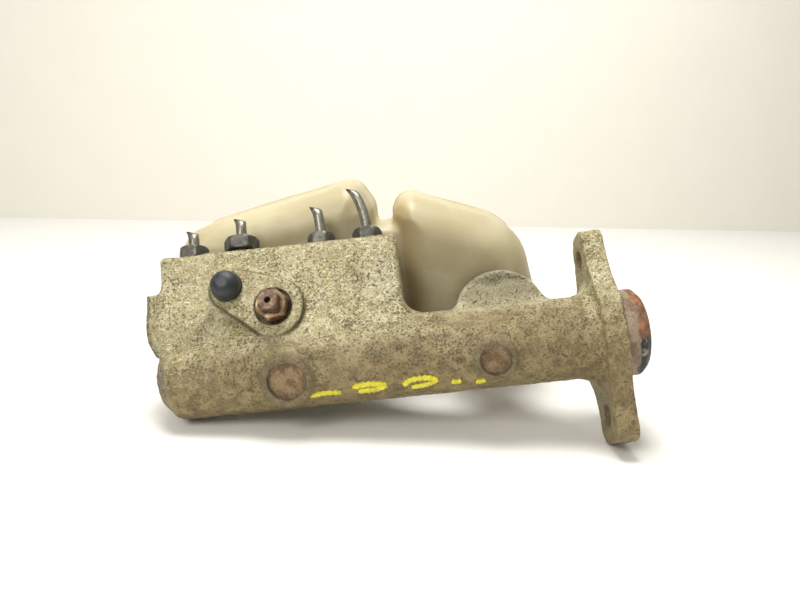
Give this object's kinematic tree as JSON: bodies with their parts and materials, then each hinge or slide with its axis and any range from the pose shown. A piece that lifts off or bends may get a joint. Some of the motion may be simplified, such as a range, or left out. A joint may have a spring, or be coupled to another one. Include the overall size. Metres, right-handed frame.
{
  "type": "brake master cylinder",
  "caption": "Tandem brake master cylinder with flanged cast body, built-in pressure valve, four cut pipe stubs and a two-chamber plastic reservoir.",
  "frame": {"origin": "centre of the flange's mounting face, on the bore axis", "axes": "+X along the bore, out of the mounting face towards the booster; +Y up the reservoir to its filler cap; +Z to the side on which the brake pipes leave. The casting's bolt line is turned 30 degrees about X from +Z towards +Y."},
  "size_m": [0.2085, 0.1437, 0.1155],
  "materials": {
    "cast_body": "aged yellow-passivated zinc over pitted cast iron, with rust where it was machined",
    "piston_alloy": "turned and hard anodised",
    "seal_rubber": "matt black rubber",
    "plain_steel": "plain steel, lightly oxidised",
    "spring_steel": "drawn spring wire",
    "valve_brass": "turned brass",
    "switch_metal": "brown, tarnished plated brass",
    "terminal_brass": "dull brass with brown tarnish",
    "cap_rubber": "smooth slate-black rubber",
    "nut_steel": "dark oxidised steel",
    "pipe_steel": "grey steel tube with scuffs and light rust",
    "tank_plastic": "translucent natural polypropylene, yellowed and brown-stained inside",
    "cap_plastic": "black moulded plastic"
  },
  "bodies": {
    "root": {"cylinder_body": "cast_body", "circlip": "spring_steel", "stop_washer": "plain_steel", "stop_pin": "plain_steel", "secondary_spring": "spring_steel", "valve_plug": "plain_steel", "valve_spring_front": "spring_steel", "valve_spring_rear": "spring_steel", "switch_body": "switch_metal", "switch_terminal": "terminal_brass", "vent_cap": "cap_rubber", "tube_seat_1": "valve_brass", "tube_seat_2": "valve_brass", "tube_seat_3": "valve_brass", "tube_seat_4": "valve_brass", "pipe_nut_1": "nut_steel", "pipe_nut_2": "nut_steel", "pipe_nut_3": "nut_steel", "pipe_nut_4": "nut_steel", "pipe_stub_1": "pipe_steel", "pipe_stub_2": "pipe_steel", "pipe_stub_3": "pipe_steel", "pipe_stub_4": "pipe_steel", "reservoir_front_tub": "tank_plastic", "reservoir_rear_tub": "tank_plastic", "reservoir_front_roof": "tank_plastic", "reservoir_rear_roof": "tank_plastic", "filler_neck": "tank_plastic", "reservoir_bridge": "tank_plastic", "inlet_grommet_1": "seal_rubber", "inlet_grommet_2": "seal_rubber"},
    "primary_piston_set": {"primary_piston": "piston_alloy", "primary_rear_seal": "seal_rubber", "primary_cup": "seal_rubber", "primary_spring_seat": "plain_steel"},
    "secondary_piston_set": {"secondary_piston": "piston_alloy", "secondary_rear_seal": "seal_rubber", "secondary_cup": "seal_rubber", "secondary_spring_seat": "plain_steel", "primary_spring": "spring_steel"},
    "valve_spool_set": {"valve_spool": "valve_brass"},
    "switch_plunger_set": {"switch_plunger": "plain_steel"},
    "cap_seat": {"cap_gasket": "seal_rubber"},
    "screw_cap": {"reservoir_cap": "cap_plastic"}
  },
  "joints": [
    {"name": "primary_slide", "type": "slide", "parent": "root", "child": "primary_piston_set", "axis": [-1, 0, 0], "range_m": [0, 0.03], "stiffness_N_per_m": 1500, "springref_m": -0.02, "deforming": ["primary_spring"]},
    {"name": "secondary_slide", "type": "slide", "parent": "root", "child": "secondary_piston_set", "axis": [-1, 0, 0], "range_m": [0, 0.0151], "stiffness_N_per_m": 1500, "springref_m": -0.01, "deforming": ["secondary_spring"]},
    {"name": "valve_slide", "type": "slide", "parent": "root", "child": "valve_spool_set", "axis": [1, 0, 0], "range_m": [-0.0025, 0.0025], "stiffness_N_per_m": 800, "deforming": ["valve_spring_front", "valve_spring_rear"]},
    {"name": "switch_plunger_slide", "type": "slide", "parent": "root", "child": "switch_plunger_set", "axis": [0, -0.866, 0.5], "range_m": [0, 0.002], "stiffness_N_per_m": 300, "springref_m": -0.002},
    {"name": "cap_lift", "type": "slide", "parent": "root", "child": "cap_seat", "axis": [0, 1, 0], "range_m": [0, 0.0051]},
    {"name": "cap_turn", "type": "hinge", "parent": "cap_seat", "child": "screw_cap", "pos_m": [-0.128, 0.1, 0.023], "axis": [0, 1, 0], "range_deg": [0, 450]}
  ],
  "couplings": [
    {"joint": "secondary_slide", "follows": "primary_slide", "ratio": 0.5},
    {"joint": "cap_lift", "follows": "cap_turn", "m_per_rad": 0.00063662}
  ]
}
